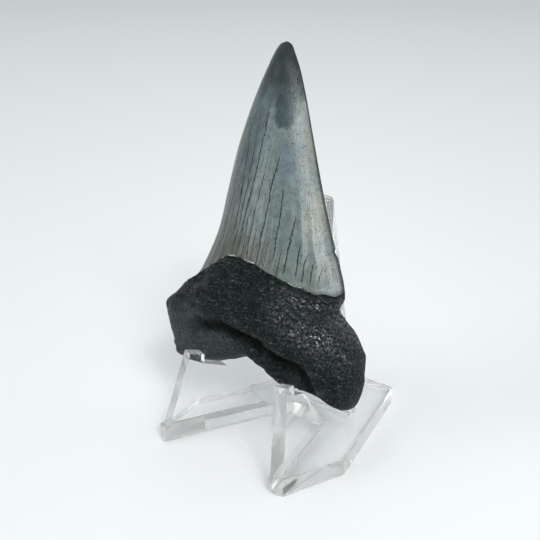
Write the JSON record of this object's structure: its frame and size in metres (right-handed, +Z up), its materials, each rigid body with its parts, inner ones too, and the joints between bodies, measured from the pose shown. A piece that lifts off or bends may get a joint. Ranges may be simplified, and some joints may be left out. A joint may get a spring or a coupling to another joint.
{
  "type": "fossil shark tooth on a clear stand",
  "caption": "Dark fossil shark tooth with a glossy enamel crown and a rough black root, resting upright on a clear acrylic display stand.",
  "frame": {"origin": "on the surface the stand rests on, in the stand's plane of symmetry, under the foot of the back post", "axes": "+Z up; +Y to the back of the stand, away from the tooth's lingual face; +X to the right seen from the front"},
  "size_m": [0.0566, 0.0539, 0.0892],
  "materials": {
    "fossil": "polished crown, rough root",
    "clear_acrylic": "clear, polished"
  },
  "bodies": {
    "root": {"tooth": "fossil", "stand_base": "clear_acrylic", "back_post": "clear_acrylic"}
  },
  "joints": []
}
